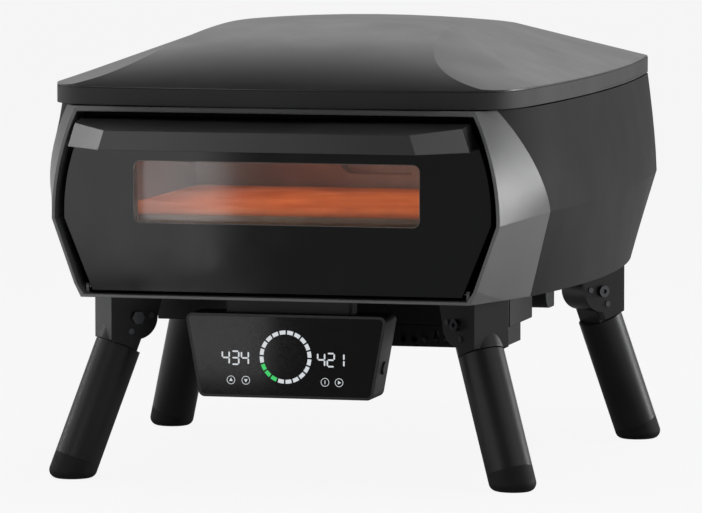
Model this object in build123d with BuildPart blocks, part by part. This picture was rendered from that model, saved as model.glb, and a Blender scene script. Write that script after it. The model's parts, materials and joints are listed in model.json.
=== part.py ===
# Portable electric pizza oven on four folding legs, in millimetres, +Z up.
# The origin is on the ground under the middle of the oven, the door faces -Y.
import os
from math import cos, radians, sin, sqrt, tan

from build123d import *

os.makedirs("parts", exist_ok=True)

# Overall sizes
body_width = 583.0          # widest place, at the waist crease
body_length = 791.5         # from the front rim to the back edge of the lid
base_height = 204.0         # ground to the underside of the body
body_height = 204.6         # underside to the lid seam
handle_reach = 74.6         # handle in front of the front rim
sheet = 2.0                 # body sheet
flange = 20.0               # inward flanges of the body
seam_gap = 1.4              # thickness of the seal under the lid
overrun = 5.0               # how far cutting tools run past a face
slack = 0.3                 # gap between pieces that only lie close

# Lid
skirt_height = 19.5
dome_height = 62.0
lid_front_half = 205.0
lid_nose = 10.5             # middle of the lid's front edge ahead of the rim
lid_front_step = 12.5       # how far the front edge falls back at its ends
lid_sheet = 2.4
groove_depth = 1.1          # groove between the skirt and the dome
groove_height = 1.5
lid_pad = 20.0              # insulation under the dome
lid_pad_inset = 20.0
lid_crown = 29.0            # fall of the dome's middle line at full half width
dome_peak_setback = 329.5
dome_rear_reach = 480.0
lid_seal_inset = 12.0
lid_seal_width = 6.0

# Front opening, as heights above the underside of the body
rim = 3.2
opening_top = 198.8
opening_bend = 143.0
opening_waist = 83.8
opening_low = 14.1
bezel_wall = 4.2
bezel_face = 3.0
bevel_length = 70.0         # bevel under each front corner, back from the rim

# Door
door_setback = 9.1          # glass face behind the rim
door_gap = 7.4
door_foot_gap = 7.0
door_foot_rise = 6.5
door_glass_thickness = 3.0
door_frame_depth = 17.4
door_skin = 1.5
door_wall = 3.0
door_collar = 2.0
seal_thickness = 2.7
seal_width = 7.0
seal_inset = 9.0
window_half = 157.1
window_low = 77.2
window_high = 146.8
window_radius = 8.0
inner_glass_thickness = 3.0

# Hinge
hinge_setback = 14.0
hinge_rise = 10.5
hinge_pin_radius = 1.8
hinge_pin_bury = 14.0
hinge_fit = 0.05
hinge_ear_inset = 2.8
hinge_ear = 3.4
hinge_boss_radius = 3.4
sill_pad_radius = 3.0
sill_pad_height = 0.6

# Handle
handle_top = 183.6
handle_low = 162.8
handle_gap = 16.6           # handle's end to the side of the opening
handle_end_length = 47.1    # angled end along X, at the low edge
handle_lean = 6.6           # the face narrows this much towards the top
handle_root_inset = 5.0
handle_end_reach = 36.0     # where the ends turn, ahead of the glass
handle_bar = 10.0
handle_plate = 4.0
handle_rise = 8.0           # the top climbs this much on its way to the door
handle_screw_radius = 2.5
handle_screw_length = 15.0
handle_screw_height = 172.0
handle_screw_inset = 8.0
handle_screw_head = 4.5
handle_screw_head_height = 2.5
screw_fit = 0.05

# Cooking chamber
mouth_setback = 32.5
mouth_plate = 2.0
mouth_lap = 11.0            # chamber wall to the mouth's edge
mouth_low = 64.0
mouth_high = 180.0
chamber_side = 75.5         # chamber wall to the widest place of the body
chamber_low = 58.0
chamber_high = 181.0
chamber_depth = 440.0
liner_sheet = 1.5
stone_side_gap = 3.0
stone_gap = 8.0             # stone to the chamber's front and back
stone_thickness = 18.0
stone_top = 87.0
stone_radius = 6.0
stone_edge = 1.2
rail_width = 12.0
rail_inset = 15.0           # chamber wall to the middle of the rail
insulation_thickness = 19.0
insulation_setback = 92.0
recess_half = 47.0
recess_low = 102.0
recess_high = 165.0
recess_radius = 16.0
recess_depth = 26.0
recess_rim = 5.0

# Heaters
rod_radius = 4.0
rod_margin = 40.0           # rods in from the chamber walls
rod_runs = 6
rod_bend = 24.0
rod_tail = 40.0             # rod ends behind the chamber
rod_hole = 0.5
upper_rod_drop = 14.0       # rod centre under the chamber roof
lower_rod_rise = 6.0        # rod centre above the chamber floor
clip_thickness = 3.0
clip_margin = 0.8
clip_rows = (0.28, 0.74)
reflector_margin = 8.0
reflector_drop = 3.0
reflector_post = 5.0
probe_radius = 2.0
probe_reach = 70.0
probe_half = 120.0
probe_rise = 150.0

# Air duct, fan box and fan under the body
tray_half = 200.0
tray_setback = 255.5
tray_length = 114.0
tray_depth = 47.0
tray_sheet = 1.5
duct_margin = 22.0
fan_box_left = 40.0
fan_box_right = 190.0
fan_box_length = 100.0
fan_box_depth = 24.0
slot_width = 6.8
slot_height = 14.0
slot_pitch = 12.2
slot_count = 9
slot_margin = 9.0
fan_size = 80.0
fan_depth = 15.0
fan_bore = 38.0
fan_hub = 15.0
fan_tip_gap = 1.5
fan_blade = 2.0
fan_blade_count = 7
fan_blade_lean = 35.0
fan_shaft_radius = 2.0
fan_spoke = 4.0
fan_spoke_depth = 3.0
fan_middle = 75.0
fan_corner_radius = 4.5
fan_screw_inset = 5.4
fan_screw_height = 1.8
fan_screw_head = 3.4

# Mains inlet under the right side
inlet_inner = 184.0
inlet_width = 26.0
inlet_setback = 396.0
inlet_length = 44.0
inlet_depth = 40.0
inlet_wall = 2.5
inlet_round = 18.0
socket_half_width = 9.0
socket_height = 24.0
socket_depth = 17.0
socket_pin = 1.2
socket_pin_reach = 12.0
socket_pin_pitch = 7.0

# Control panel
panel_top_half = 111.5
panel_low_half = 95.5
panel_top_drop = 19.0
panel_low_drop = 109.0
panel_setback = 49.5
panel_depth = 50.0
panel_radius = 7.0
panel_wall = 2.5
panel_glass = 2.0
panel_glass_border = 3.0
panel_edge = 1.2
display_thickness = 1.6
display_border = 12.0
display_gap = 4.0
display_post = 3.0
display_post_half = 71.5
neck_half = 70.0
neck_depth = 26.0
neck_setback = 62.0
button_radius = 7.0
button_proud = 2.6
button_travel = 1.5
button_fit = 0.3
button_flange = 1.5
button_flange_depth = 2.0
button_rise = 33.0          # above the panel's low edge
button_back = 24.0          # behind the glass
switch_size = 12.0
switch_depth = 6.0

# Legs
leg_radius = 25.0
leg_wall = 2.0
leg_tilt = 21.7
front_splay = 52.0
rear_splay = 44.0
pivot_drop = 30.0           # pivot below the body
front_foot_half = 246.7
front_foot_setback = 69.5
rear_foot_half = 279.6
rear_foot_setback = 588.4
bracket_width = 47.5
bracket_sheet = 3.0
bracket_tail = 32.0         # pivot to the inner end of the cheeks
bracket_low = 23.6          # pivot to the bottom edge of the web
cheek_radius = 24.0
leg_start = 34.0            # pivot to the top of the tube, along the leg
socket_end = 33.0           # pivot to the end of the bracket, along the leg
knuckle_gap = 0.25
knuckle_neck_half = 14.5
plug_length = 22.0
foot_length = 22.0
foot_spigot = 12.0
foot_round = 9.0
bolt_radius = 4.0
bolt_fit = 0.05
bolt_head_radius = 6.5
bolt_head_height = 4.5
bolt_key = 5.0
bolt_key_depth = 2.5
nut_flats = 13.0
nut_height = 5.0
rivet_radius = 3.2
rivet_height = 1.2
rivet_offset = 16.4
rivet_angles = (174.0, -65.0)
bracket_screw_radius = 3.6
bracket_screw_height = 2.0
bracket_screw_place = 21.0

# Electronics behind the chamber
board_half = 95.0
board_length = 110.0
board_gap = 25.0            # chamber's insulation to the power board
board_thickness = 1.6
board_rise = 12.0
post_radius = 3.5
post_inset = 7.0
relay_size = 22.0
relay_height = 17.0
relay_pitch = 34.0
sink_length = 80.0
sink_width = 42.0
sink_height = 34.0
sink_fin = 3.0
sink_fin_count = 6

# Screws and rear slots
base_screw_radius = 3.6
base_screw_height = 1.8
rear_slot_length = 46.0
rear_slot_height = 5.0
rear_slot_pitch = 12.0
rear_slot_rows = 4
rear_slot_columns = 4
rear_slot_spacing = 62.0
rear_slot_centre = 140.0

# Plan outlines of the body, from the underside up to the lid seam.
# Each pair is a share of the half width and a share of the body length.
level_shares = (0.0, 0.452, 0.690, 0.870, 1.0)
waist_level = 1
front_shares = (0.739, 0.8415, 0.8206, 0.784, 0.748)
cheek_shares = ((0.8660, 0.1500), (0.9486, 0.1365), (0.9214, 0.0954), (0.8658, 0.0625), (0.8083, 0.0360))
shoulder_shares = ((0.8981, 0.2148), (0.9664, 0.2021), (0.9480, 0.1700), (0.9190, 0.1500), (0.8990, 0.1390))
flank_shares = ((0.9605, 0.4795), (1.0, 0.492), (0.983, 0.4776), (0.959, 0.470), (0.942, 0.467))
rear_corner_shares = ((0.8576, 0.8585), (0.9125, 0.947), (0.8937, 0.960), (0.875, 0.968), (0.861, 0.972))
rear_edge_shares = ((0.775, 0.8913), (0.8233, 0.980), (0.8045, 0.992), (0.7856, 0.997), (0.772, 1.0))
rear_bulge_share = 0.16

# Half widths of the opening, as shares of the body's half width
opening_top_half_share = 0.7437
opening_bend_half_share = 0.8082
opening_waist_half_share = 0.8295
opening_low_half_share = 0.7448
opening_sill_half_share = 0.7204

# Facets round the dome, from the skirt up past the peak: height as a share of the dome,
# then the nose, shoulder, flank, rear corner and rear edge, and the bulge of the front corner.
facet_shares = (
    (0.000, 0.549, (0.899, 0.1130), (0.942, 0.467), (0.861, 0.9720), (0.772, 1.0000), 0.20),
    (0.242, 0.450, (0.7764, 0.1771), (0.8052, 0.481), (0.7267, 0.8910), (0.6449, 0.9231), 0.09),
    (0.565, 0.360, (0.6126, 0.2627), (0.6227, 0.499), (0.5473, 0.7829), (0.4753, 0.8205), 0.03),
    (0.871, 0.300, (0.4575, 0.3438), (0.4497, 0.517), (0.3775, 0.6804), (0.3147, 0.7233), 0.02),
    (1.097, 0.250, (0.3430, 0.4037), (0.3220, 0.530), (0.2520, 0.6048), (0.1960, 0.6515), 0.02),
)
crown_shares = (-1.0, -0.5, 0.0, 0.5, 1.0)
base_screw_shares = ((0.86, 0.27), (0.90, 0.50), (0.40, 0.88), (0.80, 0.82))
sill_pad_shares = (-0.586, -0.390, 0.537, 0.742, 0.937)
dome_edge_share = 0.97
quarter_turn = 90.0          # degrees

half_width = body_width / 2
front = -(body_length + handle_reach) / 2 + handle_reach
seam = base_height + body_height
lid_low = seam + seam_gap
skirt_top = lid_low + skirt_height
opening_sill = rim
opening_top_half = opening_top_half_share * half_width
opening_bend_half = opening_bend_half_share * half_width
opening_waist_half = opening_waist_half_share * half_width
opening_low_half = opening_low_half_share * half_width
opening_sill_half = opening_sill_half_share * half_width
door_foot_half = opening_sill_half - door_foot_gap
hinge_ear_inner = opening_sill_half - hinge_ear_inset
handle_end_half = opening_bend_half - handle_gap
handle_root_half = handle_end_half - handle_root_inset
handle_low_half = handle_end_half - handle_end_length
handle_top_half = handle_low_half - handle_lean
handle_screw_half = handle_root_half - handle_screw_inset
chamber_half = half_width - chamber_side
mouth_half = chamber_half - mouth_lap
stone_half = chamber_half - stone_side_gap
rail_half = chamber_half - rail_inset


def at(setback):
    # a place along Y, measured back from the front rim
    return front + setback


def high(rise):
    # a height above the underside of the body
    return base_height + rise


def level_plan(rise):
    return Plane.XY.offset(high(rise))


def upright(setback):
    # a plane across the oven; pulls out of it run to the front
    return Plane.XZ.offset(-at(setback))


def save(piece, name):
    piece.part.label = name
    export_step(piece.part, f"parts/{name}.step")


def place(share, inset=0.0):
    return (share[0] * half_width - inset, at(share[1] * body_length))


def flipped(point):
    return (-point[0], point[1])


def bulged(start, end, share):
    # the middle point of an arc that bulges to the right of start to end
    dx, dy = end[0] - start[0], end[1] - start[1]
    return ((start[0] + end[0]) / 2 + dy * share, (start[1] + end[1]) / 2 - dx * share)


def wrap_outline(level, inset, lead=0.0, mode=Mode.ADD):
    # side and back outline at one level, closed by a line across the front
    cheek = place(cheek_shares[level], inset)
    cheek = (cheek[0], cheek[1] + slack)
    shoulder = place(shoulder_shares[level], inset)
    corner = place(rear_corner_shares[level], inset)
    edge = place(rear_edge_shares[level], inset)
    edge = (edge[0], edge[1] - inset)
    with BuildLine() as outline:
        if lead:
            Polyline((0, cheek[1] - lead), (cheek[0], cheek[1] - lead), cheek)
        else:
            Line((0, cheek[1]), cheek)
        side = ThreePointArc(shoulder, place(flank_shares[level], inset), corner)
        TangentArc(shoulder, cheek, tangent=-(side % 0))
        ThreePointArc(corner, bulged(corner, edge, rear_bulge_share), edge)
        Line(edge, (0, edge[1]))
        mirror(about=Plane.YZ)
    make_face(outline.edges(), mode=mode)


def wrap_plane(level):
    return level_plan(level_shares[level] * body_height)


def bezel_slope(level):
    # the crease at the waist climbs from the rim to the cheek, the other levels lie flat
    if level != waist_level:
        return 0.0
    return (level_shares[level] * body_height - opening_waist) / (cheek_shares[level][1] * body_length)


def bezel_plane(level):
    slope = bezel_slope(level)
    rise = level_shares[level] * body_height - slope * place(cheek_shares[level])[1]
    return Plane(origin=(0, 0, high(rise)), x_dir=(1, 0, 0), z_dir=(0, -slope, 1))


def bezel_outline(level, wall=0.0, face=0.0, lead=0.0):
    # front outline at one level, from the rim back to the cheek ends
    stretch = sqrt(1 + bezel_slope(level) ** 2)
    half, back = place(cheek_shares[level], wall)
    back *= stretch
    ahead = at(face) * stretch
    with BuildLine() as outline:
        Polyline((0, ahead), (front_shares[level] * half_width - wall, ahead), (half, back))
        if lead:
            Polyline((half, back), (half, back + lead), (0, back + lead))
        else:
            Line((half, back), (0, back))
        mirror(about=Plane.YZ)
    make_face(outline.edges())


def lofted(outline, plane, mode=Mode.ADD):
    # flat sides up to the waist crease, a smooth bow from there to the top
    for levels, flat in ((range(waist_level + 1), True), (range(waist_level, len(level_shares)), False)):
        sections = []
        for level in levels:
            with BuildSketch(plane(level)) as section:
                outline(level)
            sections.append(section.sketch.face())
        loft(sections, ruled=flat, mode=mode)


def bevel_plane(side):
    # the plane that trims the corner under the rim's low end
    top = Vector(side * (opening_low_half + rim), front, high(opening_low))
    toe = Vector(side * (opening_sill_half + rim), front, high(0))
    nose = front_shares[0] * half_width
    half, back = place(cheek_shares[0])
    heel = Vector(side * (nose + (half - nose) * bevel_length / (back - front)), at(bevel_length), high(0))
    return Plane(origin=heel, x_dir=toe - heel, z_dir=(top - toe).cross(heel - toe) * -side)


def upright_outline(lower, waist, bend, top, mode=Mode.ADD):
    # a six-sided outline in X and Z with bowed upper sides
    with BuildLine() as outline:
        Polyline((0, lower[0][1]), *lower, waist)
        ThreePointArc(waist, bend, top)
        Line(top, (0, top[1]))
        mirror(about=Plane.YZ)
    make_face(outline.edges(), mode=mode)


def opening_outline(grow=0.0, mode=Mode.ADD):
    upright_outline(
        ((opening_sill_half + grow, high(opening_sill - grow)), (opening_low_half + grow, high(opening_low))),
        (opening_waist_half + grow, high(opening_waist)),
        (opening_bend_half + grow, high(opening_bend)),
        (opening_top_half + grow, high(opening_top + grow)),
        mode=mode,
    )


def door_outline(inset=0.0, mode=Mode.ADD):
    side = door_gap + inset
    upright_outline(
        ((door_foot_half - inset, high(door_foot_rise + inset)),),
        (opening_waist_half - side, high(opening_waist)),
        (opening_bend_half - side, high(opening_bend)),
        (opening_top_half - side, high(opening_top - side)),
        mode=mode,
    )


def window_outline(extra=0.0, mode=Mode.ADD):
    tall = window_high - window_low + 2 * extra
    with Locations((0, high((window_low + window_high) / 2))):
        RectangleRounded(2 * (window_half + extra), tall, window_radius + extra, mode=mode)


def lid_outline(inset, mode=Mode.ADD):
    # plan of the lid
    start = (lid_front_half - inset, at(lid_front_step - lid_nose + inset))
    shoulder = place(shoulder_shares[-1], inset)
    corner = place(rear_corner_shares[-1], inset)
    edge = place(rear_edge_shares[-1], inset)
    edge = (edge[0], edge[1] - inset)
    with BuildLine() as outline:
        nose = ThreePointArc(flipped(start), (0, at(inset - lid_nose)), start)
        Line(edge, flipped(edge))
    with BuildLine() as right:
        side = ThreePointArc(shoulder, place(flank_shares[-1], inset), corner)
        Spline(start, shoulder, tangents=(nose % 1, side % 0))
        ThreePointArc(corner, bulged(corner, edge, rear_bulge_share), edge)
    left = [edge.mirror(Plane.YZ) for edge in right.edges()]
    make_face(outline.edges() + right.edges() + left, mode=mode)


def facet_outline(nose, shoulder, flank, corner, edge, bulge):
    # one contour of the sloping facets; its front runs ahead of the lid
    ahead = (nose * half_width, at(-lid_nose - 4 * overrun))
    shoulder, flank, corner, edge = place(shoulder), place(flank), place(corner), place(edge)
    with BuildLine() as outline:
        Line((0, ahead[1]), ahead)
        ThreePointArc(ahead, bulged(ahead, shoulder, bulge), shoulder)
        ThreePointArc(shoulder, flank, corner)
        ThreePointArc(corner, bulged(corner, edge, rear_bulge_share), edge)
        Line(edge, (0, edge[1]))
        mirror(about=Plane.YZ)
    make_face(outline.edges())


def crown_outline(share, drop):
    # the dome's lengthwise outline at one distance from its middle
    x_place = share * half_width
    edge_rise = sqrt(1 - dome_edge_share**2)
    tall = (dome_height - lid_crown * share**2) / (1 - edge_rise)
    centre = (at(dome_peak_setback), skirt_top - drop - edge_rise * tall)
    ahead = dome_peak_setback + lid_nose - lid_front_step * (x_place / lid_front_half) ** 2
    front_reach = ahead / dome_edge_share
    rear_reach = dome_rear_reach / dome_edge_share
    foot = skirt_top - 2 * skirt_height - drop
    with BuildLine() as outline:
        EllipticalCenterArc(centre, rear_reach, tall, arc_size=quarter_turn)
        EllipticalCenterArc(centre, front_reach, tall, start_angle=quarter_turn, arc_size=quarter_turn)
        Polyline(
            (centre[0] - front_reach, centre[1]),
            (centre[0] - front_reach, foot),
            (centre[0] + rear_reach, foot),
            (centre[0] + rear_reach, centre[1]),
        )
    make_face(outline.edges())


def domed(inset, drop, foot):
    # the lid's solid shape, drawn in by the inset and let down by the drop
    with BuildPart() as shape:
        with BuildSketch(Plane.XY.offset(skirt_top - drop)):
            facet_outline(*facet_shares[0][1:])
        extrude(amount=foot - skirt_top + drop)
        for rise, *outline in facet_shares:
            with BuildSketch(Plane.XY.offset(skirt_top - drop + rise * dome_height)):
                facet_outline(*outline)
        loft()
        for share in crown_shares:
            with BuildSketch(Plane.YZ.offset(share * half_width)):
                crown_outline(share, drop)
        loft(mode=Mode.INTERSECT)
        with BuildSketch(Plane.XY.offset(foot)):
            lid_outline(inset)
        extrude(amount=2 * dome_height, mode=Mode.INTERSECT)
    return shape.part


def block(left, right, near, far, low, top, mode=Mode.ADD):
    # a plain box from its six faces: X, setback and rise
    with BuildSketch(level_plan(low)) as foot:
        with Locations(((left + right) / 2, at((near + far) / 2))):
            Rectangle(right - left, far - near)
    extrude(foot.sketch, amount=top - low, mode=mode)


def rod(radius, place_from, direction, length, mode=Mode.ADD):
    # a round bar from a place along a direction
    with BuildSketch(Plane(origin=place_from, z_dir=direction)) as end:
        Circle(radius)
    extrude(end.sketch, amount=length, mode=mode)


# Lid: pressed shell with an inward flange at its foot
with BuildPart() as lid_shell:
    add(domed(0, 0, lid_low))
    add(domed(lid_sheet, lid_sheet, lid_low - overrun), mode=Mode.SUBTRACT)
    with BuildSketch(Plane.XY.offset(lid_low)):
        lid_outline(0)
        lid_outline(flange, mode=Mode.SUBTRACT)
    extrude(amount=sheet)
    with BuildSketch(Plane.XY.offset(skirt_top - groove_height)):
        lid_outline(-overrun)
        lid_outline(groove_depth, mode=Mode.SUBTRACT)
    extrude(amount=groove_height, mode=Mode.SUBTRACT)
save(lid_shell, "lid_shell")

with BuildPart() as lid_insulation:
    add(domed(lid_pad_inset, lid_sheet, lid_low + sheet))
    add(domed(lid_pad_inset + lid_pad, lid_sheet + lid_pad, lid_low - overrun), mode=Mode.SUBTRACT)
save(lid_insulation, "lid_insulation")

with BuildPart() as lid_seal:
    with BuildSketch(Plane.XY.offset(seam)):
        lid_outline(lid_seal_inset)
        lid_outline(lid_seal_inset + lid_seal_width, mode=Mode.SUBTRACT)
    extrude(amount=seam_gap)
save(lid_seal, "lid_seal")

# Body: folded wrap, open at the front, with flanges top and bottom
with BuildPart() as body_shell:
    lofted(lambda level: wrap_outline(level, 0), wrap_plane)
    lofted(lambda level: wrap_outline(level, sheet, lead=overrun), wrap_plane, Mode.SUBTRACT)
    for level, low in ((0, sheet), (-1, body_height - sheet)):
        with BuildSketch(level_plan(low)):
            wrap_outline(level, slack)
            wrap_outline(level, flange, lead=overrun, mode=Mode.SUBTRACT)
            with Locations((0, place(cheek_shares[level])[1])):
                Rectangle(body_width, 2 * overrun, mode=Mode.SUBTRACT)
        extrude(amount=sheet)
    with BuildSketch(upright(body_length + overrun)):
        with Locations((0, high(rear_slot_centre))):
            with GridLocations(rear_slot_spacing, rear_slot_pitch, rear_slot_columns, rear_slot_rows):
                SlotOverall(rear_slot_length, rear_slot_height)
    extrude(amount=4 * flange, mode=Mode.SUBTRACT)
save(body_shell, "body_shell")

# Front bezel: facets running out to the rim, and the reveal round the door
with BuildPart() as front_bezel:
    lofted(bezel_outline, bezel_plane)
    lofted(lambda level: bezel_outline(level, bezel_wall, bezel_face, overrun), bezel_plane, Mode.SUBTRACT)
    with BuildSketch(level_plan(body_height - sheet)):
        bezel_outline(-1)
    extrude(amount=sheet)
    with BuildSketch(upright(mouth_setback)):
        opening_outline(rim)
    extrude(amount=mouth_setback)
    with BuildSketch(upright(mouth_setback + overrun)):
        opening_outline()
    extrude(amount=mouth_setback + 2 * overrun, mode=Mode.SUBTRACT)
    for side in (-1, 1):
        with BuildSketch(bevel_plane(side)):
            Rectangle(4 * bevel_length, 4 * bevel_length)
        extrude(amount=bevel_length, mode=Mode.SUBTRACT)
    with BuildSketch(upright(hinge_setback)):
        for side in (-1, 1):
            with Locations((side * (hinge_ear_inner + hinge_ear / 2), high((hinge_rise + rim) / 2 - rim / 4))):
                Rectangle(hinge_ear, hinge_rise - rim / 2)
    extrude(amount=hinge_boss_radius, both=True)
    for side in (-1, 1):
        centre = (side * hinge_ear_inner, at(hinge_setback), high(hinge_rise))
        rod(hinge_boss_radius, centre, (side, 0, 0), hinge_ear)
        rod(hinge_pin_radius + hinge_fit, centre, (side, 0, 0), hinge_ear, Mode.SUBTRACT)
save(front_bezel, "front_bezel")

# Base plate with the duct opening
with BuildPart() as base_plate:
    with BuildSketch(level_plan(0)):
        wrap_outline(0, bezel_wall + slack)
        bezel_outline(0, bezel_wall + slack, mouth_setback + mouth_plate + slack, overrun)
        with Locations((0, at(tray_setback + tray_length / 2))):
            Rectangle(2 * (tray_half - duct_margin), tray_length - 2 * duct_margin, mode=Mode.SUBTRACT)
    extrude(amount=sheet)
save(base_plate, "base_plate")

with BuildPart() as base_screws:
    with BuildSketch(level_plan(0)):
        for share in base_screw_shares:
            with Locations(place(share), flipped(place(share))):
                Circle(base_screw_radius)
    extrude(amount=-base_screw_height)
    chamfer(base_screws.edges().group_by(Axis.Z)[0], base_screw_height / 3)
save(base_screws, "base_screws")

# Cooking chamber: front plate with the mouth, box behind it, hole for the recess cup
chamber_near = mouth_setback + mouth_plate
chamber_far = chamber_near + chamber_depth
stone_near = chamber_near + stone_gap
stone_far = chamber_far - stone_gap
back_far = chamber_far + liner_sheet
rod_pitch = 2 * (chamber_half - rod_margin) / (rod_runs - 1)
rod_places = [(run - (rod_runs - 1) / 2) * rod_pitch for run in range(rod_runs)]
upper_rod = chamber_high - upper_rod_drop
lower_rod = chamber_low + lower_rod_rise


def recess_outline(grow=0.0, mode=Mode.ADD):
    with Locations((0, high((recess_low + recess_high) / 2))):
        RectangleRounded(
            2 * (recess_half + grow), recess_high - recess_low + 2 * grow, recess_radius + grow, mode=mode
        )


def mouth_outline(mode=Mode.ADD):
    with Locations((0, high((mouth_low + mouth_high) / 2))):
        Rectangle(2 * mouth_half, mouth_high - mouth_low, mode=mode)


def rear_holes(near, depth):
    # the rod ends and the probe pass through the chamber's back
    for run in (0, -1):
        for rise in (upper_rod, lower_rod):
            rod(rod_radius + rod_hole, (rod_places[run], at(near), high(rise)), (0, 1, 0), depth, Mode.SUBTRACT)
    rod(probe_radius + rod_hole / 2, (probe_half, at(near), high(probe_rise)), (0, 1, 0), depth, Mode.SUBTRACT)


with BuildPart() as cavity_liner:
    skin = liner_sheet
    block(-chamber_half - skin, chamber_half + skin, chamber_near, back_far,
          chamber_low - skin, chamber_high + skin)
    block(-chamber_half, chamber_half, chamber_near, chamber_far, chamber_low, chamber_high, Mode.SUBTRACT)
    with BuildSketch(upright(chamber_near)):
        opening_outline(rim / 2)
        mouth_outline(Mode.SUBTRACT)
    extrude(amount=mouth_plate)
    with BuildSketch(upright(back_far)):
        recess_outline()
    extrude(amount=2 * liner_sheet, mode=Mode.SUBTRACT)
    rear_holes(chamber_far - liner_sheet, 3 * liner_sheet)
save(cavity_liner, "cavity_liner")

with BuildPart() as recess_cup:
    with BuildSketch(upright(back_far)):
        recess_outline(recess_rim)
    extrude(amount=-liner_sheet)
    with BuildSketch(upright(back_far + recess_depth)):
        recess_outline(liner_sheet)
    extrude(amount=recess_depth)
    with BuildSketch(upright(back_far + recess_depth - liner_sheet)):
        recess_outline()
    extrude(amount=recess_depth, mode=Mode.SUBTRACT)
save(recess_cup, "recess_cup")

with BuildPart() as insulation_jacket:
    wool = liner_sheet + insulation_thickness
    skin = liner_sheet
    block(-chamber_half - wool, chamber_half + wool, insulation_setback, chamber_far + wool,
          chamber_low - wool, chamber_high + wool)
    block(-chamber_half - skin, chamber_half + skin, insulation_setback, back_far,
          chamber_low - skin, chamber_high + skin, Mode.SUBTRACT)
    with BuildSketch(upright(chamber_far + wool)):
        recess_outline(recess_rim + slack)
    extrude(amount=insulation_thickness, mode=Mode.SUBTRACT)
    rear_holes(back_far - slack, insulation_thickness + 2 * slack)
save(insulation_jacket, "insulation_jacket")

with BuildPart() as pizza_stone:
    block(-stone_half, stone_half, stone_near, stone_far, stone_top - stone_thickness, stone_top)
    fillet(pizza_stone.edges().filter_by(Axis.Z), stone_radius)
    chamfer(pizza_stone.faces().sort_by(Axis.Z)[-1].edges(), stone_edge)
save(pizza_stone, "pizza_stone")

with BuildPart() as stone_rails:
    for side in (-1, 1):
        block(side * rail_half - rail_width / 2, side * rail_half + rail_width / 2,
              stone_near + rail_width, stone_far - rail_width,
              chamber_low, stone_top - stone_thickness)
save(stone_rails, "stone_rails")


# Heating rods: one bent rod under the roof and one under the stone
def bent_rod(rise):
    near = at(chamber_near + rod_margin)
    far = at(chamber_far - rod_margin)
    tail = at(back_far + rod_tail)
    corners = [(rod_places[0], tail)]
    for run, x_place in enumerate(rod_places):
        ends = [near, far] if run % 2 else [far, near]
        corners += [(x_place, y_place) for y_place in (ends if 0 < run < rod_runs - 1 else (near,))]
    corners.append((rod_places[-1], tail))
    with BuildPart() as heater:
        with BuildLine(level_plan(rise)) as path:
            FilletPolyline(*corners, radius=rod_bend)
        with BuildSketch(Plane(origin=(rod_places[0], tail, high(rise)), z_dir=(0, 1, 0))):
            Circle(rod_radius)
        sweep(path=path.line)
    return heater


upper_heater = bent_rod(upper_rod)
save(upper_heater, "upper_heater")
lower_heater = bent_rod(lower_rod)
save(lower_heater, "lower_heater")

with BuildPart() as heat_reflector:
    half = chamber_half - reflector_margin
    top = chamber_high - reflector_drop
    block(-half, half, chamber_near + reflector_margin, chamber_far - reflector_margin, top - liner_sheet, top)
    with BuildSketch(level_plan(top)):
        with GridLocations(chamber_half, chamber_depth / 2, 2, 2):
            with Locations((0, at((chamber_near + chamber_far) / 2))):
                Circle(reflector_post)
    extrude(amount=reflector_drop)
save(heat_reflector, "heat_reflector")

with BuildPart() as heater_clips:
    for row in clip_rows:
        place_y = chamber_near + row * chamber_depth
        for x_place in rod_places[1:-1:2] + rod_places[2:-1:2]:
            half = rod_radius + clip_margin
            for low, top in (
                (upper_rod - half, chamber_high - reflector_drop - liner_sheet),
                (chamber_low, lower_rod + half),
            ):
                block(x_place - half, x_place + half, place_y - clip_thickness / 2,
                      place_y + clip_thickness / 2, low, top)
            for rise in (upper_rod, lower_rod):
                rod(rod_radius, (x_place, at(place_y - clip_thickness), high(rise)), (0, 1, 0),
                    2 * clip_thickness, Mode.SUBTRACT)
save(heater_clips, "heater_clips")

with BuildPart() as temperature_probe:
    tip = (probe_half, at(chamber_far - probe_reach), high(probe_rise))
    rod(probe_radius, tip, (0, 1, 0), probe_reach + liner_sheet + insulation_thickness + rod_tail / 2)
    fillet(temperature_probe.edges().sort_by(Axis.Y)[0], probe_radius / 2)
    back = (probe_half, at(back_far + insulation_thickness), high(probe_rise))
    rod(3 * probe_radius, back, (0, 1, 0), 3 * probe_radius)
save(temperature_probe, "temperature_probe")

# Door
frame_near = door_setback + door_glass_thickness
frame_far = frame_near + door_frame_depth
inner_glass_near = frame_far - inner_glass_thickness


def hinge_place(side, half):
    return (side * half, at(hinge_setback), high(hinge_rise))


pin_inner = door_foot_half - hinge_pin_bury
pin_length = hinge_ear_inner + hinge_ear - pin_inner


def handle_screw_places():
    return [(side * handle_screw_half, high(handle_screw_height)) for side in (-1, 1)]


with BuildPart() as door_glass:
    with BuildSketch(upright(frame_near)):
        door_outline()
        with Locations(*handle_screw_places()):
            Circle(handle_screw_radius + screw_fit, mode=Mode.SUBTRACT)
    extrude(amount=door_glass_thickness)
    chamfer(door_glass.faces().sort_by(Axis.Y)[0].outer_wire().edges(), door_glass_thickness / 5)
save(door_glass, "door_glass")

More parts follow.
